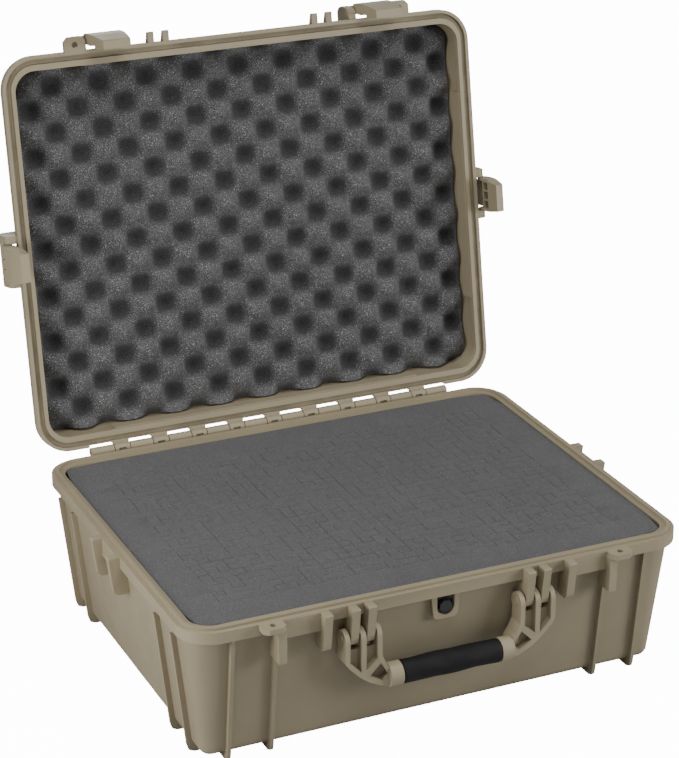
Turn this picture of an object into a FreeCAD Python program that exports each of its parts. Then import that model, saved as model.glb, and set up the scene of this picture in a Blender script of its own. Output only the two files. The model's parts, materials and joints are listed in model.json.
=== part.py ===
"""Hard equipment case with a hinged lid, four draw latches, a folding handle and foam.

Frame: millimetres, +Z up, the front wall faces -Y, and the origin is the middle of the
underside, on the surface that the case stands on.  The lid, and all that it carries, is
drawn closed and then swung open about the hinge rod by its placement.
"""
import FreeCAD, Part
import math
import os
import Sketcher

V = FreeCAD.Vector
X_AXIS = V(1, 0, 0)
Z_AXIS = V(0, 0, 1)

# ---------------------------------------------------------------- driving dimensions
DIMENSIONS = {
    # outside of the two shells
    "rim_length": 575.0,
    "rim_width": 451.0,
    "rim_corner": 38.0,
    "rim_depth": 13.0,
    "wall_length": 564.0,
    "wall_width": 436.0,
    "wall_corner": 30.0,
    "draft": 6.56,
    "foot_rise": 6.8,
    "parting_height": 164.0,
    "lid_gap": 0.4,
    "lid_rim_depth": 9.6,
    "lid_depth": 49.5,
    "lid_rib_rise": 6.0,
    "wall": 4.5,
    # opening and rim profile
    "mouth_length": 546.0,
    "mouth_width": 418.0,
    "mouth_corner": 23.5,
    "cavity_inset": 3.0,
    "groove_outer": 4.0,
    "groove_inner": 10.0,
    "groove_depth": 6.0,
    "ridge_outer": 5.1,
    "ridge_inner": 8.7,
    "ridge_rise": 2.8,
    "slit_inner": 10.4,
    "slit_depth": 2.0,
    "seal_side": 0.3,
    "seal_thick": 2.8,
    # hinge
    "hinge_back": 231.5,
    "hinge_height": 165.0,
    "knuckle_radius": 5.5,
    "knuckle_pitch": 47.5,
    "base_knuckle": 27.4,
    "lid_knuckle": 18.2,
    "rod_radius": 2.0,
    "rod_run": 0.08,
    "open_angle": 100.5,
    # padlock tabs
    "tab_offset": 199.6,
    "tab_hole_back": 232.5,
    "tab_hole_radius": 3.6,
    "tab_width": 25.0,
    "tab_reach": 241.5,
    "tab_thick": 6.0,
    "tab_boss": 8.8,
    # latches, in the latch's own frame: outward from the rim, upward from the parting
    "front_latch": 165.5,
    "latch_width": 39.5,
    "latch_bay": 41.0,
    "latch_lug": 9.0,
    "latch_ear": 8.4,
    "latch_taper": 3.8,
    "link_pin_out": 10.0,
    "link_pin_up": 27.0,
    "lever_pin_out": 12.0,
    "lever_pin_up": 8.0,
    "latch_pin_radius": 1.6,
    "latch_pin_run": 0.06,
    "latch_drop": 44.0,
    "latch_out": 17.8,
    "hook_inset": 0.6,
    "keeper_drop": 21.0,
    "keeper_out": 2.0,
    "lug_drop": 44.5,
    "flare": 3.5,
    # handle
    "handle_back": 225.5,
    "handle_pivot": 126.0,
    "handle_ear": 11.2,
    "handle_deep": 20.0,
    "pocket_deep": 8.0,
    "handle_pin": 2.2,
    "handle_pin_run": 0.06,
    "pin_head": 4.6,
    "grip_back": 230.7,
    "grip_height": 77.0,
    "grip_half": 57.5,
    "grip_radius": 13.4,
    "core_radius": 8.0,
    "handle_lug": 8.8,
    "handle_lug_near": 91.7,
    "handle_lug_far": 109.9,
    # ribs and feet
    "rib": 4.0,
    "rib_rise": 6.0,
    "corner_rib": 238.0,
    "tab_rib": 190.5,
    "side_rib_a": 178.0,
    "side_rib_b": 136.0,
    "side_rib_c": -121.0,
    "side_rib_d": -168.0,
    # purge valve
    "valve_height": 136.0,
    "valve_bore": 8.0,
    "valve_knob": 7.2,
    # foam
    "foam_top": 163.0,
    "foam_length": 544.8,
    "foam_width": 416.8,
    "foam_split": 93.0,
    "foam_floor": 24.0,
    "foam_slack": 0.3,
    "lid_foam_recess": 20.0,
}


class Size:
    """A number together with the spreadsheet expression that gives it."""

    def __init__(self, value, text):
        self.value = value
        self.text = text

    @staticmethod
    def of(thing):
        return thing if isinstance(thing, Size) else Size(float(thing), repr(float(thing)))

    def __add__(self, other):
        other = Size.of(other)
        return Size(self.value + other.value, f"({self.text} + {other.text})")

    def __sub__(self, other):
        other = Size.of(other)
        return Size(self.value - other.value, f"({self.text} - ({other.text}))")

    def __mul__(self, other):
        other = Size.of(other)
        return Size(self.value * other.value, f"({self.text} * ({other.text}))")

    def __truediv__(self, other):
        other = Size.of(other)
        return Size(self.value / other.value, f"({self.text} / ({other.text}))")

    def __radd__(self, other):
        return Size.of(other) + self

    def __rsub__(self, other):
        return Size.of(other) - self

    def __rmul__(self, other):
        return Size.of(other) * self

    def __neg__(self):
        return Size(-self.value, f"(-1 * {self.text})")


doc = FreeCAD.newDocument("equipment_case")
sheet = doc.addObject("Spreadsheet::Sheet", "Sizes")


def fill_sheet():
    """Put every driving dimension in the sheet and return them by name."""
    sizes = {}
    for row, (name, value) in enumerate(DIMENSIONS.items(), start=1):
        sheet.set(f"A{row}", name)
        sheet.set(f"B{row}", str(value))
        sheet.setAlias(f"B{row}", name)
        sizes[name] = Size(value, f"Sizes.{name}")
    doc.recompute()
    return sizes


S = fill_sheet()
DRAFT = S["draft"]
PART = S["parting_height"]
LID_RIM = PART + S["lid_gap"]


# ---------------------------------------------------------------- modelling helpers
def new_body(label):
    body = doc.addObject("PartDesign::Body", label)
    body.Label = label
    return body


def origin_plane(body, role):
    return next(f for f in body.Origin.OriginFeatures if f.Role == role)


def bind(thing, prop, size):
    thing.setExpression(prop, Size.of(size).text)


def new_sketch(body, name, role="XY_Plane", offset=0.0):
    """A sketch parallel to one of the body's planes, offset along the plane's normal."""
    sketch = body.newObject("Sketcher::SketchObject", name)
    sketch.AttachmentSupport = (origin_plane(body, role), [""])
    sketch.MapMode = "FlatFace"
    bind(sketch, "AttachmentOffset.Base.z", offset)
    return sketch


def pin_down(sketch, geometry, point, where):
    """Fix one point of a sketch by its two distances from the sketch's origin."""
    for kind, size in zip(("DistanceX", "DistanceY"), where):
        size = Size.of(size)
        index = sketch.addConstraint(
            Sketcher.Constraint(kind, -1, 1, geometry, point, size.value))
        sketch.setExpression(f"Constraints[{index}]", size.text)


def add_outline(sketch, points):
    """A closed outline of straight lines through the points."""
    first = sketch.GeometryCount
    flat = [V(Size.of(a).value, Size.of(b).value, 0) for a, b in points]
    count = len(points)
    for i in range(count):
        sketch.addGeometry(Part.LineSegment(flat[i], flat[(i + 1) % count]))
    for i in range(count):
        sketch.addConstraint(
            Sketcher.Constraint("Coincident", first + i, 2, first + (i + 1) % count, 1))
    for i, where in enumerate(points):
        pin_down(sketch, first + i, 1, where)


def add_circle(sketch, where, radius):
    radius = Size.of(radius)
    centre = V(Size.of(where[0]).value, Size.of(where[1]).value, 0)
    index = sketch.addGeometry(Part.Circle(centre, Z_AXIS, radius.value))
    pin_down(sketch, index, 3, where)
    rule = sketch.addConstraint(Sketcher.Constraint("Radius", index, radius.value))
    sketch.setExpression(f"Constraints[{rule}]", radius.text)


def add_rounded(sketch, half_x, half_y, radius):
    """A rectangle about the sketch's origin with its four corners rounded."""
    half_x, half_y, radius = Size.of(half_x), Size.of(half_y), Size.of(radius)
    a, b, r = half_x.value, half_y.value, radius.value
    first = sketch.GeometryCount
    sides = [
        (V(-a + r, -b, 0), V(a - r, -b, 0)), (V(a, -b + r, 0), V(a, b - r, 0)),
        (V(a - r, b, 0), V(-a + r, b, 0)), (V(-a, b - r, 0), V(-a, -b + r, 0)),
    ]
    centres = [V(a - r, -b + r, 0), V(a - r, b - r, 0), V(-a + r, b - r, 0), V(-a + r, -b + r, 0)]
    for i, (start, end) in enumerate(sides):
        sketch.addGeometry(Part.LineSegment(start, end))
        circle = Part.Circle(centres[i], Z_AXIS, r)
        turn = math.radians(-90 + 90 * i)
        sketch.addGeometry(Part.ArcOfCircle(circle, turn, turn + math.pi / 2))
    for i in range(4):
        side, arc, after = first + 2 * i, first + 2 * i + 1, first + (2 * i + 2) % 8
        sketch.addConstraint(Sketcher.Constraint("Tangent", side, 2, arc, 1))
        sketch.addConstraint(Sketcher.Constraint("Tangent", arc, 2, after, 1))
        sketch.addConstraint(Sketcher.Constraint("Horizontal" if i % 2 == 0 else "Vertical", side))
        rule = sketch.addConstraint(Sketcher.Constraint("Radius", arc, r))
        sketch.setExpression(f"Constraints[{rule}]", radius.text)
    limits = [("DistanceY", -half_y), ("DistanceX", half_x), ("DistanceY", half_y), ("DistanceX", -half_x)]
    for i, (kind, size) in enumerate(limits):
        rule = sketch.addConstraint(
            Sketcher.Constraint(kind, -1, 1, first + 2 * i, 1, size.value))
        sketch.setExpression(f"Constraints[{rule}]", size.text)


def extrude(body, sketch, length, cut=False, reverse=False, taper=None, midplane=False):
    """Pad or pocket a sketch; a positive taper widens a pad and narrows a pocket."""
    kind = "Pocket" if cut else "Pad"
    feature = body.newObject(f"PartDesign::{kind}", f"{sketch.Name}_{kind.lower()}")
    feature.Profile = sketch
    bind(feature, "Length", length)
    feature.Reversed = reverse
    feature.Midplane = midplane
    if taper is not None:
        bind(feature, "TaperAngle", taper)
    body.Tip = feature
    return feature


def add_box(body, name, low, size, cut=False):
    """A block from its lowest corner and its three sides."""
    (x, y, z), (dx, dy, dz) = low, size
    sketch = new_sketch(body, name, offset=z)
    add_outline(sketch, [(x, y), (x + dx, y), (x + dx, y + dy), (x, y + dy)])
    return extrude(body, sketch, dz, cut=cut, reverse=cut)


def add_rod(body, name, start, radius, length, along="x", cut=False):
    """A cylinder that starts at a point and runs along +X or +Y."""
    x, y, z = start
    if along == "x":
        sketch = new_sketch(body, name, "YZ_Plane", x)
        add_circle(sketch, (y, z), radius)
        return extrude(body, sketch, length, cut=cut, reverse=cut)
    sketch = new_sketch(body, name, "XZ_Plane", -y)
    add_circle(sketch, (x, z), radius)
    return extrude(body, sketch, length, cut=cut, reverse=not cut)


def mirror(body, name, features, role="YZ_Plane"):
    """Repeat features on the other side of one of the body's planes."""
    copy = body.newObject("PartDesign::Mirrored", name)
    copy.Originals = features
    copy.MirrorPlane = (origin_plane(body, role), [""])
    body.Tip = copy
    return copy


def repeat(body, name, features, pitch, count):
    """Repeat features along +X at an even pitch."""
    row = body.newObject("PartDesign::LinearPattern", name)
    row.Originals = features
    row.Direction = (origin_plane(body, "X_Axis"), [""])
    bind(row, "Length", Size.of(pitch) * (count - 1))
    row.Occurrences = count
    body.Tip = row
    return row


def round_edges(body, name, radius, chosen):
    """Fillet the edges of the body's present shape that a test picks out."""
    doc.recompute()
    base = body.Tip
    names = [f"Edge{i}" for i, e in enumerate(base.Shape.Edges, start=1) if chosen(e)]
    fillet = body.newObject("PartDesign::Fillet", name)
    fillet.Base = (base, names)
    bind(fillet, "Radius", radius)
    body.Tip = fillet
    return fillet


def lies_at(height, slack=0.05):
    """A test for edges that lie flat at a height."""
    height = Size.of(height).value
    return lambda e: abs(e.BoundBox.ZMin - height) < slack and abs(e.BoundBox.ZMax - height) < slack


def ring(body, name, bottom, height, outer_inset, inner_inset, cut=False):
    """A band round the rim between two insets from the rim's outer edge."""
    sketch = new_sketch(body, name, offset=bottom)
    for inset in (outer_inset, inner_inset):
        add_rounded(sketch, S["rim_length"] / 2 - inset, S["rim_width"] / 2 - inset,
                    S["rim_corner"] - inset)
    return extrude(body, sketch, height, cut=cut, reverse=cut)


# ---------------------------------------------------------------- placements
HINGE = V(0, S["hinge_back"].value, S["hinge_height"].value)
OPEN = FreeCAD.Placement(V(0, 0, 0), FreeCAD.Rotation(X_AXIS, -S["open_angle"].value), HINGE)
LEAN = math.tan(math.radians(DRAFT.value))
RIM_X = S["rim_length"].value / 2
RIM_Y = S["rim_width"].value / 2

# where each latch stands on the rim and how far it is turned about Z
LATCHES = {
    "front_left": (V(-S["front_latch"].value, -RIM_Y, PART.value), 0),
    "front_right": (V(S["front_latch"].value, -RIM_Y, PART.value), 0),
    "left": (V(-RIM_X, 0, PART.value), -90),
    "right": (V(RIM_X, 0, PART.value), 90),
}


def latch_placement(name, flared=False):
    """The latch's own frame in the open lid, with or without its rest flare."""
    spot, turn = LATCHES[name]
    stand = OPEN.multiply(FreeCAD.Placement(spot, FreeCAD.Rotation(Z_AXIS, turn)))
    if not flared:
        return stand
    pin = V(0, -S["lever_pin_out"].value, S["lever_pin_up"].value)
    swing = FreeCAD.Rotation(X_AXIS, -S["flare"].value)
    return stand.multiply(FreeCAD.Placement(V(0, 0, 0), swing, pin))


# ---------------------------------------------------------------- shells
def rib(body, name, along, reach, top, side=-1):
    """A drafted wall rib that hooks under the bottom edge as a foot, on the wall of that side."""
    front = along == "x"
    wide = (S["wall_width"] if front else S["wall_length"]) / 2
    high = PART - top

    def wall_at(z, out):
        return (wide - LEAN * (PART - z) + out) * side

    sketch = new_sketch(body, name, "YZ_Plane" if front else "XZ_Plane",
                        reach if front else -Size.of(reach))
    add_outline(sketch, [
        (wall_at(high, S["rib_rise"]), high), (wall_at(9, S["rib_rise"]), 9.0),
        (wall_at(3, S["rib_rise"] - 1.5), 2.5), (wall_at(0, -1.0), 0.0),
        (wall_at(0, -18.0), 0.0), (wall_at(3, -24.0), 3.0), (wall_at(9, -26.0), 9.0),
        (wall_at(9, -3.5), 9.0), (wall_at(high, -2.0), high),
    ])
    return extrude(body, sketch, S["rib"], midplane=True)


def base_lug(body, name, role, at, rim, width, reach, pivot=None):
    """An upright lug below the rim that leans with the wall, drawn on its side."""
    sketch = new_sketch(body, name, role, at)
    deep = PART - S["lug_drop"]
    top = PART - 0.3
    foot = LEAN * S["lug_drop"]
    outer = rim + reach
    add_outline(sketch, [
        (-(rim - 14), deep + 3), (-(rim - 6), deep), (-(outer - foot - 5), deep),
        (-(outer - foot - 1), deep + 3), (-(outer - foot + 0.5), deep + 8), (-outer, top - 1),
        (-(outer - 1), top), (-(rim - 12), top),
    ])
    if pivot is not None:
        add_circle(sketch, pivot, S["handle_pin"] + S["handle_pin_run"])
    return extrude(body, sketch, width, midplane=True)


def padlock_tab(body, name, bottom):
    """A tab with clipped corners, centred on the padlock hole."""
    half = S["tab_width"] / 2
    sketch = new_sketch(body, name, offset=bottom)
    x, clip = S["tab_offset"], 5.0
    near = -(S["rim_width"] / 2 - 4)
    far = -S["tab_reach"]
    add_outline(sketch, [
        (x - half, near), (x - half, far + clip), (x - half + clip, far),
        (x + half - clip, far), (x + half, far + clip), (x + half, near),
    ])
    add_circle(sketch, (x, -S["tab_hole_back"]), S["tab_hole_radius"])
    return extrude(body, sketch, S["tab_thick"])


def knuckles(body, name, count, width, low, high, bore):
    """Hinge knuckles in an even row, each joined to the rim by a web."""
    start = -(S["knuckle_pitch"] * (count - 1) / 2) - width / 2
    inside = S["rim_width"] / 2 - 4
    barrel = add_rod(body, f"{name}_barrel", (start, S["hinge_back"], S["hinge_height"]),
                     S["knuckle_radius"], width)
    web = add_box(body, f"{name}_web", (start, inside, low),
                  (width, S["hinge_back"] - inside, high - low))
    repeat(body, f"{name}_row", [barrel, web], S["knuckle_pitch"], count)
    add_rod(body, f"{name}_bore", (-300.0, S["hinge_back"], S["hinge_height"]), bore, 600.0, cut=True)


def hinge_cuts(body, name, count, low, size):
    """Blocks cut out along the hinge in an even row, each centred on a knuckle."""
    start = -(S["knuckle_pitch"] * (count - 1) / 2) - size[0] / 2
    notch = add_box(body, name, (start, *low), size, cut=True)
    repeat(body, f"{name}_row", [notch], S["knuckle_pitch"], count)


def tub(body, name, mouth, depth, upward):
    """The drafted outside of a shell from the parting plane, hollow, with round corners."""
    outside = new_sketch(body, f"{name}_outside", offset=mouth)
    add_rounded(outside, S["wall_length"] / 2, S["wall_width"] / 2, S["wall_corner"])
    extrude(body, outside, depth, reverse=not upward, taper=-DRAFT)
    end = mouth + depth if upward else mouth - depth
    round_edges(body, f"{name}_outer_round", 11.0, lies_at(end))
    return end


def hollow(body, name, mouth, depth, upward):
    """The mouth, then the wider drafted cavity behind its lip, then the cavity's round."""
    lip = new_sketch(body, f"{name}_mouth", offset=mouth)
    add_rounded(lip, S["mouth_length"] / 2, S["mouth_width"] / 2, S["mouth_corner"])
    extrude(body, lip, 14.0, cut=True, reverse=upward)
    cavity = new_sketch(body, f"{name}_cavity", offset=mouth + 8 if upward else mouth - 8)
    inset = S["cavity_inset"]
    add_rounded(cavity, S["mouth_length"] / 2 + inset, S["mouth_width"] / 2 + inset,
                S["mouth_corner"] + inset)
    extrude(body, cavity, depth - 8, cut=True, reverse=upward, taper=-DRAFT)
    end = mouth + depth if upward else mouth - depth
    inside = S["wall_length"].value / 2 - 20
    flat = lies_at(end)
    round_edges(body, f"{name}_inner_round", 7.0,
                lambda e: flat(e) and abs(e.CenterOfMass.x) < inside)


def make_base():
    body = new_body("base_shell")
    tub(body, "base", PART, PART - S["foot_rise"], upward=False)
    ring(body, "base_rim", PART - S["rim_depth"], S["rim_depth"], 0.0, 8.0)
    bottom = PART - S["rim_depth"]
    ring(body, "base_ridge", PART - 1, S["ridge_rise"] + 1, S["ridge_outer"], S["ridge_inner"])
    features = [
        rib(body, "corner_rib", "x", S["corner_rib"], 10.0),
        rib(body, "tab_rib", "x", S["tab_rib"], 10.0),
        rib(body, "rear_corner_rib", "x", S["corner_rib"], 22.0, side=1),
        rib(body, "rear_tab_rib", "x", S["tab_rib"], 22.0, side=1),
        padlock_tab(body, "padlock_tab", PART - S["tab_thick"]),
        add_box(body, "tab_boss", (S["tab_rib"] - S["tab_boss"] / 2, -(RIM_Y + 11), PART - S["lug_drop"]),
                (S["tab_boss"], 26.0, S["lug_drop"] - 4)),
        base_lug(body, "keeper_lug", "YZ_Plane", S["front_latch"] - S["latch_bay"] / 2 - S["latch_lug"] / 2,
                 RIM_Y, S["latch_lug"], 13.0),
        add_box(body, "keeper_band",
                (S["front_latch"] - S["latch_bay"] / 2 - 1, -(RIM_Y + S["keeper_out"]),
                 PART - S["keeper_drop"]),
                (S["latch_bay"] + 2, S["keeper_out"] + 12, S["keeper_drop"] - 0.3)),
        *[base_lug(body, f"handle_{key}", "YZ_Plane", S[key], RIM_Y, S["handle_lug"], 13.0,
                   (-S["handle_back"], S["handle_pivot"]))
          for key in ("handle_lug_near", "handle_lug_far")],
    ]
    mirror(body, "front_mirror", features)
    sides = [rib(body, f"side_{key}", "y", S[key], 22.0)
             for key in ("side_rib_a", "side_rib_b", "side_rib_c", "side_rib_d")]
    bay, lug = S["latch_bay"] / 2, S["latch_lug"]
    for name, y in (("side_keeper_a", bay + lug / 2), ("side_keeper_b", -(bay + lug / 2))):
        sides.append(base_lug(body, name, "XZ_Plane", -y, RIM_X, lug, 12.7))
    sides.append(add_box(body, "side_keeper_band",
                         (-(RIM_X + S["keeper_out"]), -(bay + 1), PART - S["keeper_drop"]),
                         (S["keeper_out"] + 12, S["latch_bay"] + 2, S["keeper_drop"] - 0.3)))
    mirror(body, "side_mirror", sides)
    escutcheon(body)
    runners = [add_box(body, "runner", (60.0, -120.0, 0.0), (24.0, 240.0, S["foot_rise"] + 2))]
    mirror(body, "runner_mirror", runners)
    add_box(body, "middle_runner", (-12.0, -120.0, 0.0), (24.0, 240.0, S["foot_rise"] + 2))
    hollow(body, "base", PART, PART - S["foot_rise"] - S["wall"], upward=False)
    ring(body, "base_slit", PART, S["slit_depth"], S["ridge_inner"], S["slit_inner"], cut=True)
    knuckles(body, "base_knuckle", 10, S["base_knuckle"], bottom, PART - 0.3, S["rod_radius"])
    add_rod(body, "valve_hole", (0.0, -240.0, S["valve_height"]), S["valve_bore"], 50.0, "y", cut=True)
    add_rod(body, "valve_seat", (0.0, -209.8, S["valve_height"]), S["valve_bore"] + 2.6, 6.0, "y", cut=True)
    return body


def escutcheon(body):
    """The tapered plate and its round-bottomed recess that guard the purge valve."""
    z = S["valve_height"]
    plate = new_sketch(body, "valve_plate", "XZ_Plane", 205.0)
    add_outline(plate, [(-18.0, PART - 6), (-14.0, z - 10), (-11.0, z - 13.5), (11.0, z - 13.5),
                        (14.0, z - 10), (18.0, PART - 6)])
    extrude(body, plate, 15.5)
    add_rod(body, "valve_recess_round", (0.0, -230.0, z), 10.0, 17.4, "y", cut=True)
    add_box(body, "valve_recess_top", (-10.0, -230.0, z), (20.0, 17.4, 14.4), cut=True)


def make_lid():
    body = new_body("lid_shell")
    end = tub(body, "lid", LID_RIM, S["lid_depth"], upward=True)
    ring(body, "lid_rim", LID_RIM, S["lid_rim_depth"], 0.0, 8.0)
    half, bay = S["front_latch"], S["latch_bay"] / 2
    lug, ear = S["latch_lug"], S["latch_ear"]
    front = [padlock_tab(body, "lid_padlock_tab", LID_RIM)]
    front.append(latch_ear(body, "front_ear_in", "YZ_Plane", half - bay - lug / 2, RIM_Y, lug))
    front.append(latch_ear(body, "front_ear_out", "YZ_Plane", half + bay + ear / 2, RIM_Y, ear))
    for name, x in (("prong_a", S["handle_lug_near"]), ("prong_b", S["handle_lug_far"])):
        sketch = new_sketch(body, name, "YZ_Plane", x)
        add_outline(sketch, [(-(RIM_Y - 3.5), LID_RIM), (-(RIM_Y + 12), LID_RIM),
                             (-(RIM_Y + 12), LID_RIM + 5), (-RIM_Y, LID_RIM + 10),
                             (-(RIM_Y - 3.5), LID_RIM + 10)])
        front.append(extrude(body, sketch, 7.2, midplane=True))
    mirror(body, "lid_front_mirror", front)
    side = []
    for name, y in (("side_ear_a", bay + lug / 2), ("side_ear_b", -(bay + lug / 2))):
        side.append(latch_ear(body, name, "XZ_Plane", -y, RIM_X, lug))
    mirror(body, "lid_side_mirror", side)
    stack = []
    for name, x in (("stack_bar_a", 90.0), ("stack_bar_b", 200.0)):
        stack.append(add_box(body, name, (x, -160.0, end - 2), (16.0, 320.0, S["lid_rib_rise"] + 2)))
    mirror(body, "stack_mirror", stack)
    hollow(body, "lid", LID_RIM, S["lid_depth"] - S["wall"], upward=True)
    pads = [
        add_box(body, "side_wall_pad", (S["mouth_length"] / 2 - 0.8, -125.0, LID_RIM + 4),
                (5.0, 250.0, 20.0)),
    ]
    mirror(body, "side_wall_pads", pads)
    pads = [
        add_box(body, "front_wall_pad", (-193.0, -(S["mouth_width"] / 2 + 4.2), LID_RIM + 4),
                (386.0, 5.0, 20.0)),
    ]
    mirror(body, "front_wall_pads", pads, "XZ_Plane")
    hinge_cuts(body, "rim_gap", 10, (S["rim_width"] / 2 - 2.6, LID_RIM - 1),
               (S["base_knuckle"] + 1, 3.6, 13.0))
    groove = new_sketch(body, "seal_groove", offset=LID_RIM)
    for inset in (S["groove_outer"], S["groove_inner"]):
        add_rounded(groove, S["rim_length"] / 2 - inset, S["rim_width"] / 2 - inset,
                    S["rim_corner"] - inset)
    extrude(body, groove, S["groove_depth"], cut=True, reverse=True)
    knuckles(body, "lid_knuckle", 9, S["lid_knuckle"], LID_RIM + 0.3, LID_RIM + S["knuckle_radius"],
             S["rod_radius"] + S["rod_run"])
    hinge_cuts(body, "knuckle_pocket", 9, (S["hinge_back"] - 1.1, S["hinge_height"] - 6.5),
               (9.0, 3.2, 4.0))
    body.Placement = OPEN
    return body


def latch_ear(body, name, role, at, rim, thick):
    """A lug on the lid that holds one end of a latch's upper pin, bored for it."""
    sketch = new_sketch(body, name, role, at)
    low, high = LID_RIM + 2, PART + S["link_pin_up"] + 9
    add_outline(sketch, [
        (-(rim - 12), low + 10), (-(rim - 4), low), (-(rim + 8), low), (-(rim + 12.5), low + 5),
        (-(rim + 14.5), high - 11), (-(rim + 13), high - 5), (-(rim + 8), high), (-(rim - 12), high),
    ])
    add_circle(sketch, (-(rim + S["link_pin_out"]), PART + S["link_pin_up"]), S["latch_pin_radius"])
    return extrude(body, sketch, thick, midplane=True)


def make_seal():
    body = new_body("lid_seal")
    ring(body, "seal", LID_RIM + S["groove_depth"] - S["seal_thick"], S["seal_thick"],
         S["groove_outer"] + S["seal_side"], S["groove_inner"] - S["seal_side"])
    body.Placement = OPEN
    return body


def make_hinge_rod():
    body = new_body("hinge_rod")
    length = S["knuckle_pitch"] * 9 + S["base_knuckle"]
    add_rod(body, "rod", (-(length / 2), S["hinge_back"], S["hinge_height"]), S["rod_radius"], length)
    return body


# ---------------------------------------------------------------- latches
def make_latch(name):
    """The link, the lever and their two pins, each in the latch's own frame."""
    width, run = S["latch_width"], S["latch_pin_run"]
    link_pin = (-S["link_pin_out"], S["link_pin_up"])
    lever_pin = (-S["lever_pin_out"], S["lever_pin_up"])
    barrel = 3.8

    link = new_body(f"latch_{name}_link")
    half = width / 2 - 4.4
    add_box(link, f"{name}_web", (-half, -11.3, S["lever_pin_up"]),
            (half * 2, 3.0, S["link_pin_up"] - S["lever_pin_up"]))
    for end, (y, z), reach in (("upper", link_pin, width / 2), ("lower", lever_pin, half)):
        add_rod(link, f"{name}_{end}_barrel", (-reach, y, z), barrel, reach * 2)
        add_rod(link, f"{name}_{end}_bore", (-30.0, y, z), S["latch_pin_radius"] + run, 60.0, cut=True)
    link.Placement = latch_placement(name)

    lever = new_body(f"latch_{name}_lever")
    side = new_sketch(lever, f"{name}_side", "YZ_Plane")
    out, drop, up = S["latch_out"], S["latch_drop"], S["lever_pin_up"]
    tip, hook = S["hook_inset"], -(S["keeper_drop"] + 0.4)
    add_outline(side, [
        (1.4 - tip, -drop), (-8.4, -drop), (-9.8, -(drop - 3)), (-(out - 2.6), -20.0), (-out, 0.0),
        (-(out - 0.3), up + 1), (-(out - 3), up + 4.5), (-7.4, up + 4.5), (-5.6, up - 1), (-3.6, -8.0),
        (-3.6, hook), (-tip, hook),
    ])
    extrude(lever, side, width, midplane=True)
    inner = width / 2 - 3.0
    add_box(lever, f"{name}_well", (-inner, -16.3, -4.0), (inner * 2, 13.0, 20.0), cut=True)
    add_box(lever, f"{name}_top_notch", (-inner, -25.0, up + 1), (inner * 2, 22.0, 10.0), cut=True)
    bay = inner * 2 / 3
    for i in (1, 2):
        add_box(lever, f"{name}_split_{i}", (-inner + bay * i - 0.7, -(out + 2), -2.5),
                (1.4, 9.0, up + 4), cut=True)
    for i in range(3):
        add_box(lever, f"{name}_pocket_{i}", (-inner + bay * i + 1, -12.2, hook + 2),
                (bay - 2, 9.6, 13.0), cut=True)
    flank = new_sketch(lever, f"{name}_flank", "XZ_Plane", 30.0)
    for sign in (1, -1):
        add_outline(flank, [
            (width / 2 * sign, -14.0), ((width / 2 + 2) * sign, -14.0),
            ((width / 2 + 2) * sign, -(drop + 1)), ((width / 2 - S["latch_taper"]) * sign, -(drop + 1)),
        ])
    extrude(lever, flank, 40.0, cut=True)
    add_rod(lever, f"{name}_bore", (-30.0, *lever_pin), S["latch_pin_radius"], 60.0, cut=True)
    lever.Placement = latch_placement(name, flared=True)

    for kind, (y, z), length in (
            ("lid_pin", link_pin, S["latch_bay"] + S["latch_ear"] * 2 - 1),
            ("lever_pin", lever_pin, width)):
        pin = new_body(f"latch_{name}_{kind}")
        add_rod(pin, f"{name}_{kind}_rod", (-(length / 2), y, z), S["latch_pin_radius"], length)
        pin.Placement = latch_placement(name)


# ---------------------------------------------------------------- handle
EARS = ((80.1, 85.3), (98.0, 103.6), (116.2, 121.4))


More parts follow.
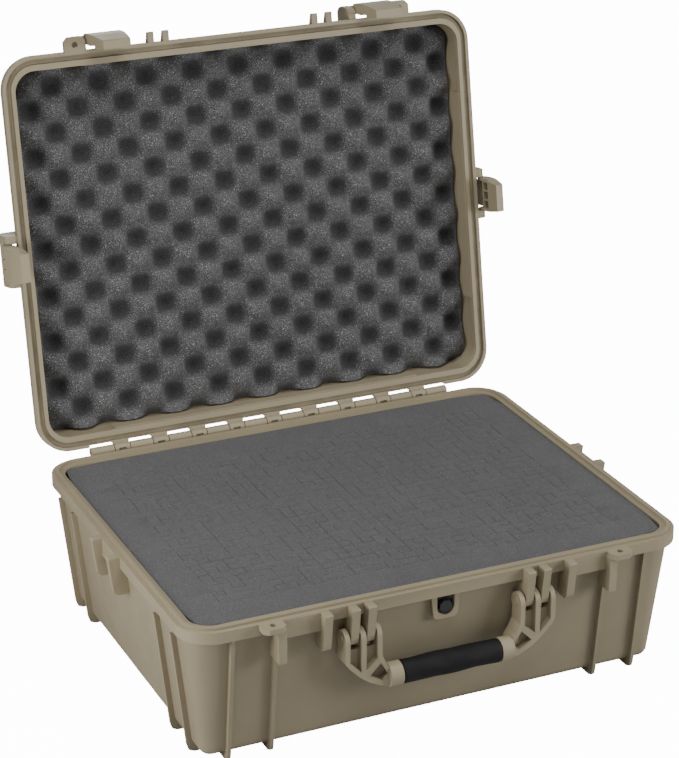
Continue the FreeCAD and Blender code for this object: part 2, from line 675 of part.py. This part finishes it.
def make_handle():
    body = new_body("handle_frame")
    back, pivot, grip = S["handle_back"], S["handle_pivot"], S["grip_height"]
    front, deep = back + S["handle_ear"], S["handle_deep"]
    inner, outer = EARS[0][0], EARS[-1][1]
    arm = new_sketch(body, "arm", "XZ_Plane", front - deep)
    add_outline(arm, [
        (inner, pivot), (inner, grip + 28), (75.5, grip + 17), (70.5, grip + 9), (70.5, grip - 9),
        (78.5, grip - 8.5), (94.4, grip - 1), (105.0, grip + 7.2), (117.0, grip + 19.4),
        (outer, grip + 26), (outer, pivot),
    ])
    plate = extrude(body, arm, deep)
    slots, pockets, ears = [], [], []
    for i, (low, high) in enumerate(((EARS[0][1], EARS[1][0]), (EARS[1][1], EARS[2][0]))):
        slots.append(add_box(body, f"lug_slot_{i}", (low, -(front + 2), pivot - 11.5),
                             (high - low, deep + 4, 30.0), cut=True))
    shapes = [
        [(85.3, 116.0), (85.3, grip + 24), (98.0, grip + 14), (98.0, 116.0)],
        [(103.6, 116.0), (103.6, grip + 13), (116.2, grip + 26), (116.2, 116.0)],
        [(81.6, grip + 19), (94.3, grip + 6.4), (79.5, grip - 2), (72.8, grip + 4)],
    ]
    for i, shape in enumerate(shapes):
        for side, offset in (("front", front), ("rear", front - deep)):
            cut = new_sketch(body, f"pocket_{side}_{i}", "XZ_Plane", offset)
            add_outline(cut, shape)
            pockets.append(extrude(body, cut, S["pocket_deep"], cut=True, reverse=side == "rear"))
    for i, (low, high) in enumerate(EARS):
        ears.append(add_rod(body, f"ear_{i}", (low, -back, pivot), S["handle_ear"], high - low))
    collar = add_rod(body, "collar", (S["grip_half"], -S["grip_back"], grip), S["grip_radius"] - 0.4, 14.0)
    mirror(body, "arm_mirror", [plate, *slots, *pockets, *ears, collar])
    half = S["grip_half"]
    add_rod(body, "core", (-(half + 5), -S["grip_back"], grip), S["core_radius"], half * 2 + 10)
    add_rod(body, "pin_bore", (-200.0, -back, pivot), S["handle_pin"], 400.0, cut=True)

    sleeve = new_body("handle_grip")
    side = new_sketch(sleeve, "grip_section", "YZ_Plane")
    for radius in (S["grip_radius"], S["core_radius"]):
        add_circle(side, (-S["grip_back"], grip), radius)
    extrude(sleeve, side, half * 2 - 0.2, midplane=True)

    head, length = 0.8, outer - inner
    for name, start in (("handle_pin_left", -outer), ("handle_pin_right", inner)):
        pin = new_body(name)
        add_rod(pin, f"{name}_rod", (start - head, -back, pivot), S["handle_pin"], length + head * 2)
        for end, x in (("near", start - head), ("far", start + length)):
            add_rod(pin, f"{name}_{end}_head", (x, -back, pivot), S["pin_head"], head)


# ---------------------------------------------------------------- purge valve
def make_valve():
    z, bore = S["valve_height"], S["valve_bore"]
    stem = new_body("purge_valve_body")
    add_rod(stem, "barrel", (0.0, -214.0, z), bore - 0.1, 11.0, "y")
    add_rod(stem, "flange", (0.0, -215.0, z), bore + 1.4, 1.5, "y")
    add_rod(stem, "nut", (0.0, -209.4, z), bore + 2, 4.8, "y")
    add_rod(stem, "spindle", (0.0, -219.0, z), 2.5, 5.0, "y")

    knob = new_body("purge_valve_knob")
    face = new_sketch(knob, "knob_face", "XZ_Plane", 215.4)
    corners = 8
    add_outline(face, [
        (S["valve_knob"] * math.cos(math.pi * (2 * i + 1) / corners),
         z + S["valve_knob"] * math.sin(math.pi * (2 * i + 1) / corners))
        for i in range(corners)
    ])
    extrude(knob, face, 5.4)
    add_rod(knob, "knob_bore", (0.0, -219.4, z), 2.56, 6.0, "y", cut=True)

    washer = new_body("purge_valve_oring")
    face = new_sketch(washer, "washer_face", "XZ_Plane", 212.7)
    for radius in (bore + 1.2, bore - 0.1):
        add_circle(face, (0.0, z), radius)
    extrude(washer, face, 0.7)


# ---------------------------------------------------------------- foam
def make_foam():
    slack = S["foam_slack"]
    levels = [
        ("base_foam_upper", S["foam_top"], S["foam_split"] + slack, 0.0),
        ("base_foam_lower", S["foam_split"], S["foam_floor"] + slack, 6.0),
        ("base_foam_pad", S["foam_floor"], S["foot_rise"] + S["wall"] + slack, 17.5),
    ]
    for name, top, bottom, inset in levels:
        body = new_body(name)
        face = new_sketch(body, f"{name}_top", offset=top)
        add_rounded(face, S["foam_length"] / 2 - inset, S["foam_width"] / 2 - inset, 22.0)
        extrude(body, face, top - bottom, reverse=True, taper=-DRAFT)
        if name == "base_foam_upper":
            add_rod(body, "valve_room", (0.0, -212.0, S["valve_height"]), S["valve_bore"] + 4, 10.0,
                    "y", cut=True)
    body = new_body("lid_foam")
    back = LID_RIM + S["lid_depth"] - S["wall"] - 1.0
    face = new_sketch(body, "lid_foam_back", offset=back)
    add_rounded(face, S["foam_length"] / 2 - 4.7, S["foam_width"] / 2 - 4.7, 18.0)
    extrude(body, face, back - (LID_RIM + S["lid_foam_recess"]), reverse=True, taper=DRAFT)
    body.Placement = OPEN


# ---------------------------------------------------------------- build, check and write
def main():
    make_base()
    make_lid()
    make_seal()
    make_hinge_rod()
    for name in LATCHES:
        make_latch(name)
    make_handle()
    make_valve()
    make_foam()
    doc.recompute()
    bad = [o.Label for o in doc.Objects if "Invalid" in o.State or "Error" in o.State]
    if bad:
        raise SystemExit(f"failed objects: {bad}")
    os.makedirs("parts", exist_ok=True)
    for body in doc.findObjects("PartDesign::Body"):
        shape = body.Shape
        if shape.isNull() or not shape.isValid():
            raise SystemExit(f"{body.Label} has no valid shape")
        if len(shape.Solids) != 1:
            print(f"{body.Label} has {len(shape.Solids)} solids")
        shape.exportStep(f"parts/{body.Label}.step")
        print(f"{body.Label}: {shape.Volume / 1000:.1f} cm3")


main()
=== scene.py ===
"""Looks for the hard equipment case: moulded shells, rubber grip, egg-crate and cube foam."""

import json
import math
import random

import bpy
import bmesh
from mathutils import Matrix, Vector


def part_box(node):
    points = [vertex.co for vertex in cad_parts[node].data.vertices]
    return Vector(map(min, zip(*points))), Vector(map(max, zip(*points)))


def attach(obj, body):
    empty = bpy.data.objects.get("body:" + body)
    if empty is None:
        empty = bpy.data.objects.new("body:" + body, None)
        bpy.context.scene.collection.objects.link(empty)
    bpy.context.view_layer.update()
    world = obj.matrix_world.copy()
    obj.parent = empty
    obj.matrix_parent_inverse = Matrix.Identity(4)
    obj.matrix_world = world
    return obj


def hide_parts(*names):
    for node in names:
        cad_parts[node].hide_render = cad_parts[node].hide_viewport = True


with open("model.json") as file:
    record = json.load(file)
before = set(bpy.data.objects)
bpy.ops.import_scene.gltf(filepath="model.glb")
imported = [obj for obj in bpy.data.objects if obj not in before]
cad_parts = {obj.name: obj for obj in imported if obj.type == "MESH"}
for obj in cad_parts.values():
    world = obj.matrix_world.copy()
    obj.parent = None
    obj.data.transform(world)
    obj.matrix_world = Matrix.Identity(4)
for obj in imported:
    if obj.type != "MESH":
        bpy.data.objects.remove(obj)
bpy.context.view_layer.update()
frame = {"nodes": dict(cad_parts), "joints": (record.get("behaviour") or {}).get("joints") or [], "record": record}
NODES = frame["nodes"]
random.seed(24)

MM = 0.001
HINGE = next(j for j in frame["joints"] if j["name"] == "lid_hinge")
HINGE_AT = Vector(HINGE["pos_m"])
OPEN_ANGLE = math.radians(HINGE["range_deg"][1])
# takes a point of the closed lid to its place in the open lid
OPEN = (Matrix.Translation(HINGE_AT) @ Matrix.Rotation(-OPEN_ANGLE, 4, "X")
        @ Matrix.Translation(-HINGE_AT))


# ---------------------------------------------------------------- materials
class Shader:
    """A short way to write a node tree that ends in one Principled shader."""

    def __init__(self, name):
        self.material = bpy.data.materials.new(name)
        self.material.use_nodes = True
        self.tree = self.material.node_tree
        self.main = self.tree.nodes["Principled BSDF"]
        self.place = self.add("ShaderNodeTexCoord").outputs["Object"]

    def add(self, kind, **settings):
        node = self.tree.nodes.new(kind)
        for key, value in settings.items():
            setattr(node, key, value)
        return node

    def link(self, source, target):
        self.tree.links.new(source, target)

    def noise(self, scale, detail=2.0, rough=0.5):
        node = self.add("ShaderNodeTexNoise")
        node.inputs["Scale"].default_value = scale
        node.inputs["Detail"].default_value = detail
        node.inputs["Roughness"].default_value = rough
        self.link(self.place, node.inputs["Vector"])
        return node.outputs["Fac"]

    def cells(self, scale):
        node = self.add("ShaderNodeTexVoronoi")
        node.inputs["Scale"].default_value = scale
        self.link(self.place, node.inputs["Vector"])
        return node.outputs["Distance"]

    def remap(self, value, low, high, to_low=0.0, to_high=1.0):
        node = self.add("ShaderNodeMapRange")
        node.inputs["From Min"].default_value = low
        node.inputs["From Max"].default_value = high
        node.inputs["To Min"].default_value = to_low
        node.inputs["To Max"].default_value = to_high
        self.link(value, node.inputs["Value"])
        return node.outputs["Result"]

    def times(self, value, number):
        node = self.add("ShaderNodeMath", operation="MULTIPLY")
        self.link(value, node.inputs[0])
        node.inputs[1].default_value = number
        return node.outputs["Value"]

    def blend(self, factor, low, high):
        """A colour between two; each is a colour or an output."""
        node = self.add("ShaderNodeMix", data_type="RGBA")
        self.link(factor, node.inputs["Factor"])
        for socket, value in ((node.inputs[6], low), (node.inputs[7], high)):
            if isinstance(value, tuple):
                socket.default_value = (*value, 1.0)
            else:
                self.link(value, socket)
        return node.outputs[2]

    def bump(self, height, strength, distance, below=None):
        node = self.add("ShaderNodeBump")
        node.inputs["Strength"].default_value = strength
        node.inputs["Distance"].default_value = distance
        self.link(height, node.inputs["Height"])
        if below is not None:
            self.link(below, node.inputs["Normal"])
        self.link(node.outputs["Normal"], self.main.inputs["Normal"])
        return node.outputs["Normal"]

    def set(self, **values):
        for name, value in values.items():
            self.main.inputs[name.replace("_", " ")].default_value = value


def moulded_plastic(name, colour, gloss=0.5, grain=0.25):
    """Injection-moulded plastic: fine spark-eroded grain, faint flow marks and a painted highlight that lightens
    convex edges.
    """
    s = Shader(name)
    dark = tuple(c * 0.93 for c in colour)
    light = tuple(min(1.0, c * 1.05) for c in colour)
    cloud = s.remap(s.noise(9.0, 3.0), 0.35, 0.65)
    base = s.blend(cloud, dark, light)
    edge = s.add("ShaderNodeNewGeometry").outputs["Pointiness"]
    # painted highlight: convex edges (high pointiness) are lightened up to 1.35 times the colour
    painted_edge_highlight = s.remap(edge, 0.505, 0.56, 0.0, 0.35)
    edge_highlighted_colour = s.blend(painted_edge_highlight, base, tuple(min(1.0, c * 1.35) for c in colour))
    s.link(edge_highlighted_colour, s.main.inputs["Base Color"])
    s.link(s.remap(s.noise(40.0, 2.0), 0.3, 0.7, gloss - 0.05, gloss + 0.08),
           s.main.inputs["Roughness"])
    s.bump(s.noise(1500.0, 2.0, 0.6), grain, 0.0002)
    s.set(IOR=1.49)
    return s.material


def rubber(name, colour, rough):
    """Matt moulded rubber with a soft sheen and a fine pebbled skin."""
    s = Shader(name)
    smudge = s.remap(s.noise(30.0, 3.0), 0.3, 0.7)
    s.link(s.blend(smudge, colour, tuple(c * 1.5 + 0.001 for c in colour)),
           s.main.inputs["Base Color"])
    s.link(s.remap(s.noise(55.0), 0.3, 0.7, rough - 0.08, rough + 0.1),
           s.main.inputs["Roughness"])
    s.set(Specular_IOR_Level=0.35)
    swell = s.bump(s.noise(42.0, 3.0), 0.5, 0.0022)
    s.bump(s.cells(900.0), 0.35, 0.0002, swell)
    return s.material


# a point attribute: 0 at the foam's crests and 1 at the bottom of its pits, which the foam colour turns into
# painted shade
PIT = "pit_depth"
FLECK_FROM = 0.6


def foam(name, colour, fleck, cell):
    """Open-cell foam: fine pores, an uneven tone, painted shade that darkens the pits, and light flecks."""
    s = Shader(name)
    shade = s.remap(s.noise(14.0, 3.0), 0.3, 0.7)
    base = s.blend(shade, tuple(c * 0.9 for c in colour), tuple(c * 1.1 for c in colour))
    pores = s.cells(cell)
    pitted = s.blend(s.remap(pores, 0.25, 0.7), tuple(c * 0.5 for c in colour), base)
    grains = s.remap(s.noise(cell * 1.6, 1.0, 0.8), FLECK_FROM - 0.1, FLECK_FROM + 0.06,
                     0.0, 0.55)
    dusted = s.blend(grains, pitted, tuple(f * 0.55 for f in fleck))
    sparks = s.remap(s.noise(cell * 1.1, 1.0, 0.8), FLECK_FROM + 0.02, FLECK_FROM + 0.12)
    flecked = s.blend(sparks, dusted, fleck)
    # painted shade: deep in the pits the colour darkens towards a quarter of the foam colour
    pit = s.add("ShaderNodeAttribute", attribute_name=PIT).outputs["Fac"]
    s.link(s.blend(s.remap(pit, 0.42, 0.74, 0.0, 0.8), flecked, tuple(c * 0.25 for c in colour)),
           s.main.inputs["Base Color"])
    s.bump(pores, 0.6, 0.0006)
    s.set(Roughness=0.95, Sheen_Weight=0.1, Sheen_Roughness=0.6)
    return s.material


def steel(name):
    """Turned stainless rod: fine rings and a slightly uneven polish."""
    s = Shader(name)
    s.link(s.blend(s.remap(s.noise(60.0, 2.0), 0.3, 0.7), (0.42, 0.41, 0.39), (0.56, 0.55, 0.53)),
           s.main.inputs["Base Color"])
    s.link(s.remap(s.noise(300.0), 0.3, 0.7, 0.28, 0.42), s.main.inputs["Roughness"])
    s.bump(s.noise(900.0), 0.15, 0.0001)
    s.set(Metallic=1.0)
    return s.material


TAN = (0.300, 0.256, 0.170)
TAN_PARTS = (0.318, 0.272, 0.181)
MATERIALS = {
    "shell_plastic": moulded_plastic("tan_shell_plastic", TAN),
    "latch_plastic": moulded_plastic("tan_latch_plastic", TAN_PARTS, 0.45, 0.18),
    "handle_plastic": moulded_plastic("tan_handle_plastic", TAN_PARTS, 0.45, 0.18),
    "valve_plastic": moulded_plastic("black_valve_plastic", (0.022, 0.023, 0.027), 0.42, 0.15),
    "grip_rubber": rubber("black_grip_rubber", (0.003, 0.003, 0.0035), 0.68),
    # painted shade: the seal colour is the shell tan darkened to 0.7, the tan of the shadowed groove rather than
    # the rubber's own colour
    "seal_rubber": rubber("shaded_tan_seal_rubber", (0.21, 0.178, 0.118), 0.7),
    "pin_steel": steel("pin_steel"),
    "cube_foam": foam("grey_cube_foam", (0.094, 0.094, 0.096), (0.2, 0.2, 0.205), 800.0),
    "lid_foam": foam("dark_egg_foam", (0.056, 0.056, 0.0585), (0.55, 0.55, 0.56), 900.0),
}


def paint_cad_nodes():
    for entry in frame["record"]["subparts"]:
        mesh = NODES[entry["node"]].data
        mesh.materials.clear()
        mesh.materials.append(MATERIALS[entry["material_slot"]])


SHELL_EDGE = 0.9 * MM
LATCH_EDGE = 0.7 * MM
HANDLE_EDGE = 1.1 * MM
EDGE_ANGLE = math.radians(38)
EDGE_STEPS = 2


def soften_edges(nodes, width):
    """Give moulded pieces the small edge radius that their tool leaves."""
    for node in nodes:
        bevel = NODES[node].modifiers.new("edge_radius", "BEVEL")
        bevel.width = width
        bevel.segments = EDGE_STEPS
        bevel.limit_method = "ANGLE"
        bevel.angle_limit = EDGE_ANGLE
        bevel.use_clamp_overlap = True
        bevel.miter_outer = "MITER_ARC"


# ---------------------------------------------------------------- mesh helpers
def make_piece(name, mesh, body, slot, *replaced):
    piece = bpy.data.objects.new(name, mesh)
    bpy.context.scene.collection.objects.link(piece)
    mesh.materials.append(MATERIALS[slot])
    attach(piece, body)
    if replaced:
        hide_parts(*replaced)
    return piece


def shade_smooth(piece, angle):
    for face in piece.data.polygons:
        face.use_smooth = True
    piece.data.set_sharp_from_angle(angle=math.radians(angle))


def rounded_limit(half_x, half_y, radius, x, y):
    """Pull a point back onto a rounded rectangle if it lies outside it."""
    x = max(-half_x, min(half_x, x))
    y = max(-half_y, min(half_y, y))
    over_x, over_y = abs(x) - (half_x - radius), abs(y) - (half_y - radius)
    if over_x > 0 and over_y > 0:
        reach = math.hypot(over_x, over_y)
        if reach > radius:
            x = math.copysign(half_x - radius + over_x * radius / reach, x)
            y = math.copysign(half_y - radius + over_y * radius / reach, y)
    return x, y


MERGE = 1e-6


def slab(name, xs, ys, top, bottom, half_x, half_y, radius, skirt_inset=0.0, place=None):
    """A closed block whose top is a height field over a grid, with rounded plan corners."""
    mesh = bpy.data.meshes.new(name)
    grid = bmesh.new()
    upper, lower = [], []
    shrink = 1.0 - skirt_inset / half_x
    for j, y in enumerate(ys):
        upper.append([])
        lower.append([])
        for i, x in enumerate(xs):
            px, py = rounded_limit(half_x, half_y, radius, x, y)
            upper[-1].append(grid.verts.new((px, py, top(x, y, i, j))))
            lower[-1].append(grid.verts.new((px * shrink, py * shrink, bottom)))
    rows, columns = len(ys), len(xs)
    for j in range(rows - 1):
        for i in range(columns - 1):
            grid.faces.new((upper[j][i], upper[j][i + 1], upper[j + 1][i + 1], upper[j + 1][i]))
            grid.faces.new((lower[j][i], lower[j + 1][i], lower[j + 1][i + 1], lower[j][i + 1]))
    for i in range(columns - 1):
        grid.faces.new((lower[0][i], lower[0][i + 1], upper[0][i + 1], upper[0][i]))
        grid.faces.new((upper[-1][i], upper[-1][i + 1], lower[-1][i + 1], lower[-1][i]))
    for j in range(rows - 1):
        grid.faces.new((lower[j + 1][0], lower[j][0], upper[j][0], upper[j + 1][0]))
        grid.faces.new((lower[j][-1], lower[j + 1][-1], upper[j + 1][-1], upper[j][-1]))
    bmesh.ops.remove_doubles(grid, verts=grid.verts, dist=MERGE)
    bmesh.ops.dissolve_degenerate(grid, edges=grid.edges, dist=MERGE / 10)
    if place is not None:
        bmesh.ops.transform(grid, matrix=place, verts=grid.verts)
    bmesh.ops.recalc_face_normals(grid, faces=grid.faces)
    grid.to_mesh(mesh)
    grid.free()
    return mesh


# ---------------------------------------------------------------- foam
CUBE = 12.7 * MM
CUBE_BORDER = 38.0 * MM
CUT_WIDTH = 0.32 * MM
CUT_DEPTH = 2.2 * MM
PAD_CUT_DEPTH = 1.0 * MM
# a high power leaves most cuts nearly shut and a few wide open
CUT_SPREAD = 3.5
FOAM_DRAFT = math.radians(6.56)
FOAM_CORNER = 22.0 * MM
FOAM_LIP = 4.0 * MM
LIP_DROP = 0.6 * MM
BORDER_SINK = 0.05 * MM
CUBE_SINK = 0.15 * MM
CUBE_LIFT = 0.04 * MM


def cut_lines(low, high):
    """Evenly spaced cut positions between the uncut borders of a foam block."""
    span = high - low - 2 * CUBE_BORDER
    count = int(span / CUBE)
    start = (low + high) / 2 - count * CUBE / 2
    return [start + CUBE * i for i in range(count + 1)]


def cube_foam(name, node, cut_depth):
    """A foam block die-cut into small cubes: each cut shows as an uneven, broken slit."""
    low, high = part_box(node)
    half_x, half_y = (high.x - low.x) / 2, (high.y - low.y) / 2
    cuts_x, cuts_y = cut_lines(low.x, high.x), cut_lines(low.y, high.y)

    def with_slits(cuts, low_end, high_end):
        places, kinds = [low_end, low_end + FOAM_LIP], [None, None]
        for n, cut in enumerate(cuts):
            for step, kind in ((-CUT_WIDTH, None), (0.0, n), (CUT_WIDTH, None)):
                places.append(cut + step)
                kinds.append(kind)
            if n < len(cuts) - 1:
                places.append(cut + CUBE / 2)
                kinds.append(None)
        return places + [high_end - FOAM_LIP, high_end], kinds + [None, None]

    xs, kinds_x = with_slits(cuts_x, low.x, high.x)
    ys, kinds_y = with_slits(cuts_y, low.y, high.y)
    depth = {}

    def slit(key):
        """How far one stretch of cut has opened."""
        if key not in depth:
            depth[key] = cut_depth * (random.random() ** CUT_SPREAD + 0.01)
        return depth[key]

    def top(x, y, i, j):
        if i in (0, len(xs) - 1) or j in (0, len(ys) - 1):
            return high.z - LIP_DROP
        inside = cuts_x[0] <= x <= cuts_x[-1] and cuts_y[0] <= y <= cuts_y[-1]
        if not inside:
            return high.z - BORDER_SINK
        cell = (int((x - cuts_x[0]) / CUBE), int((y - cuts_y[0]) / CUBE))
        lift = CUBE_LIFT * math.sin(cell[0] * 12.9898 + cell[1] * 78.233)
        drop = 0.0
        if kinds_x[i] is not None:
            drop = slit(("x", kinds_x[i], cell[1]))
        if kinds_y[j] is not None:
            drop = max(drop, slit(("y", kinds_y[j], cell[0])))
        return high.z - CUBE_SINK + lift - drop

    mesh = slab(name, xs, ys, top, low.z, half_x, half_y, FOAM_CORNER,
                skirt_inset=math.tan(FOAM_DRAFT) * (high.z - low.z))
    piece = make_piece(name, mesh, "base", "cube_foam", node)
    shade_smooth(piece, 40.0)
    return piece


EGG_X = 56.5 * MM
EGG_Y = 53.0 * MM
EGG_PIT_X = 230.0 * MM
EGG_PIT_Y = -134.0 * MM
EGG_BACKING = 6.0 * MM
EGG_CORNER = 18.0 * MM
EGG_CREST = 0.6 * MM
EGG_RIPPLE = 0.5 * MM
EGG_SHARPNESS = 1.1
EGG_STEPS = (200, 152)


def egg_crate_foam():
    """The convoluted pad in the lid: staggered rounded peaks and pits on a thin backing."""
    node = "lid_foam"
    closed = [OPEN.inverted() @ v.co for v in NODES[node].data.vertices]
    low = Vector(min(v[k] for v in closed) for k in range(3))
    high = Vector(max(v[k] for v in closed) for k in range(3))
    half_x, half_y = high.x, high.y
    tall = high.z - low.z - EGG_BACKING
    steps_x, steps_y = EGG_STEPS
    xs = [-half_x + 2 * half_x * i / steps_x for i in range(steps_x + 1)]
    ys = [-half_y + 2 * half_y * j / steps_y for j in range(steps_y + 1)]

    def height(x, y, i, j):
        wave = (math.cos(2 * math.pi * (x - EGG_PIT_X) / EGG_X)
                * math.cos(2 * math.pi * (y - EGG_PIT_Y) / EGG_Y))
        pit = (0.5 + 0.5 * wave) ** EGG_SHARPNESS
        ripple = EGG_RIPPLE * math.sin(310 * x + 170 * y) * math.sin(97 * y - 150 * x)
        return low.z + EGG_CREST + ripple + pit * tall

    mesh = slab("egg_crate_pad", xs, ys, height, high.z, half_x, half_y, EGG_CORNER, place=OPEN)
    # pit depth per point, read by the foam material to paint shade into the pits
    depth = mesh.attributes.new(PIT, "FLOAT", "POINT")
    shut = OPEN.inverted()
    for vertex in mesh.vertices:
        depth.data[vertex.index].value = min(1.0, ((shut @ vertex.co).z - low.z) / tall)
    piece = make_piece("egg_crate_pad", mesh, "lid", "lid_foam", node)
    shade_smooth(piece, 60.0)
    return piece


# ---------------------------------------------------------------- grip
GRIP_BORE = 8.05 * MM
GRIP_ROLL = 2.4 * MM
GRIP_WEAR = 0.28 * MM
GRIP_SINK = 0.5 * MM
GRIP_GRID = (56, 90)


def rubber_grip():
    """The moulded sleeve on the handle: a tube with rolled ends, worn into soft hollows."""
    low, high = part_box("handle_grip")
    middle = (low + high) / 2
    radius, half = (high.z - low.z) / 2, (high.x - low.x) / 2
    around, along = GRIP_GRID
    roll = GRIP_ROLL
    outline = []
    for i in range(along + 1):
        x = -half + 2 * half * i / along
        near_end = max(0.0, roll - (half - abs(x)))
        outline.append((x, radius - roll + math.sqrt(max(0.0, roll ** 2 - near_end ** 2)), True))
    outline += [(half, GRIP_BORE, False), (-half, GRIP_BORE, False)]
    sleeve = bmesh.new()
    rings = []
    for x, reach, outer in outline:
        row = []
        for k in range(around):
            turn = 2 * math.pi * k / around
            edge_highlighted_colour = (math.sin(74 * x + 2 * turn) + math.sin(131 * x - 3 * turn + 1.0)
                    + 0.6 * math.sin(23 * x + turn + 0.7))
            r = reach + (GRIP_WEAR * edge_highlighted_colour - GRIP_SINK if outer else 0.0)
            row.append(sleeve.verts.new((middle.x + x, middle.y + r * math.cos(turn),
                                         middle.z + r * math.sin(turn))))
        rings.append(row)
    for row, after in zip(rings, rings[1:] + rings[:1]):
        for k in range(around):
            sleeve.faces.new((row[k], row[(k + 1) % around], after[(k + 1) % around], after[k]))
    bmesh.ops.recalc_face_normals(sleeve, faces=sleeve.faces)
    mesh = bpy.data.meshes.new("rubber_grip")
    sleeve.to_mesh(mesh)
    sleeve.free()
    shade_smooth(make_piece("rubber_grip", mesh, "handle", "grip_rubber", "handle_grip"), 50.0)


# ---------------------------------------------------------------- stage, lights and camera
FLOOR_REACH = 6.0
FLOOR_DARK = (0.42, 0.42, 0.42)
FLOOR_LIGHT = (0.46, 0.46, 0.46)
# only the camera sees the floor's glow and the bright sky, which make a white background
FLOOR_GLOW = 14.0
SKY_SEEN = 14.0
# the sky's strength as a light on the case
SKY_LIGHT = 0.26


def make_stage():
    mesh = bpy.data.meshes.new("floor")
    far = FLOOR_REACH
    corners = [(-far, -far, 0), (far, -far, 0), (far, far, 0), (-far, far, 0)]
    mesh.from_pydata(corners, [], [(0, 1, 2, 3)])
    floor = bpy.data.objects.new("floor", mesh)
    bpy.context.scene.collection.objects.link(floor)
    s = Shader("pale_floor")
    s.link(s.blend(s.noise(0.8), FLOOR_DARK, FLOOR_LIGHT), s.main.inputs["Base Color"])
    s.set(Roughness=0.85, Specular_IOR_Level=0.1, Emission_Color=(1.0, 1.0, 1.0, 1.0))
    seen = s.add("ShaderNodeLightPath").outputs["Is Camera Ray"]
    s.link(s.times(seen, FLOOR_GLOW), s.main.inputs["Emission Strength"])
    mesh.materials.append(s.material)


def area_light(name, place, target, side, power, colour):
    data = bpy.data.lights.new(name, "AREA")
    data.shape = "RECTANGLE"
    data.size = data.size_y = side
    data.energy = power
    data.color = colour
    lamp = bpy.data.objects.new(name, data)
    lamp.location = place
    lamp.visible_camera = False
    aim = Vector(target) - Vector(place)
    lamp.rotation_euler = aim.to_track_quat("-Z", "Y").to_euler()
    bpy.context.scene.collection.objects.link(lamp)


# name, place, target, side, power, colour
LIGHTS = (
    ("key", (-1.0, -0.26, 0.42), (-0.3, -0.2, 0.12), 0.4, 6.6, (1.0, 0.985, 0.96)),
    ("fill", (1.7, -1.3, 0.7), (0.3, -0.2, 0.1), 0.9, 24.0, (1.0, 1.0, 1.0)),
    ("top", (-0.2, -0.75, 2.9), (0, 0.1, 0.2), 1.6, 44.0, (1.0, 1.0, 1.0)),
    ("back", (0.4, 2.6, 0.9), (0, 0.2, 0.25), 1.2, 14.0, (1.0, 1.0, 1.0)),
)


def make_lights():
    world = bpy.data.worlds.new("studio")
    world.use_nodes = True
    tree = world.node_tree
    background = tree.nodes["Background"]
    background.inputs["Color"].default_value = (1.0, 1.0, 1.0, 1.0)
    seen = tree.nodes.new("ShaderNodeLightPath").outputs["Is Camera Ray"]
    strength = tree.nodes.new("ShaderNodeMapRange")
    strength.inputs["To Min"].default_value = SKY_LIGHT
    strength.inputs["To Max"].default_value = SKY_SEEN
    tree.links.new(seen, strength.inputs["Value"])
    tree.links.new(strength.outputs["Result"], background.inputs["Strength"])
    bpy.context.scene.world = world
    for light in LIGHTS:
        area_light(*light)


CAMERA_PLACE = Vector((-1.06184, -2.25874, 1.35643))
CAMERA_AZIMUTH = math.radians(-24.75)
CAMERA_ELEVATION = math.radians(22.82)
CAMERA_ROLL = math.radians(0.21)
CAMERA_LENS = 118.83


def make_camera():
    data = bpy.data.cameras.new("camera")
    data.sensor_width = 36.0
    data.lens = CAMERA_LENS
    data.clip_end = 30.0
    camera = bpy.data.objects.new("camera", data)
    back = Vector((math.sin(CAMERA_AZIMUTH) * math.cos(CAMERA_ELEVATION),
                   -math.cos(CAMERA_AZIMUTH) * math.cos(CAMERA_ELEVATION),
                   math.sin(CAMERA_ELEVATION)))
    right = (-back).cross(Vector((0, 0, 1))).normalized()
    up = right.cross(-back)
    c, s = math.cos(CAMERA_ROLL), math.sin(CAMERA_ROLL)
    across, along = c * right + s * up, -s * right + c * up
    turn = Matrix((across, along, back)).transposed().to_4x4()
    camera.matrix_world = Matrix.Translation(CAMERA_PLACE) @ turn
    bpy.context.scene.collection.objects.link(camera)
    bpy.context.scene.camera = camera


# ---------------------------------------------------------------- build
paint_cad_nodes()
soften_edges(("base_shell", "lid_shell"), SHELL_EDGE)
soften_edges([n for n in NODES if n.endswith(("_lever", "_link"))], LATCH_EDGE)
soften_edges(("handle_frame", "purge_valve_knob"), HANDLE_EDGE)
cube_foam("cube_foam_top", "base_foam_upper", CUT_DEPTH)
cube_foam("cube_foam_middle", "base_foam_lower", CUT_DEPTH)
cube_foam("foam_floor_pad", "base_foam_pad", PAD_CUT_DEPTH)
egg_crate_foam()
rubber_grip()
make_stage()
make_lights()
make_camera()
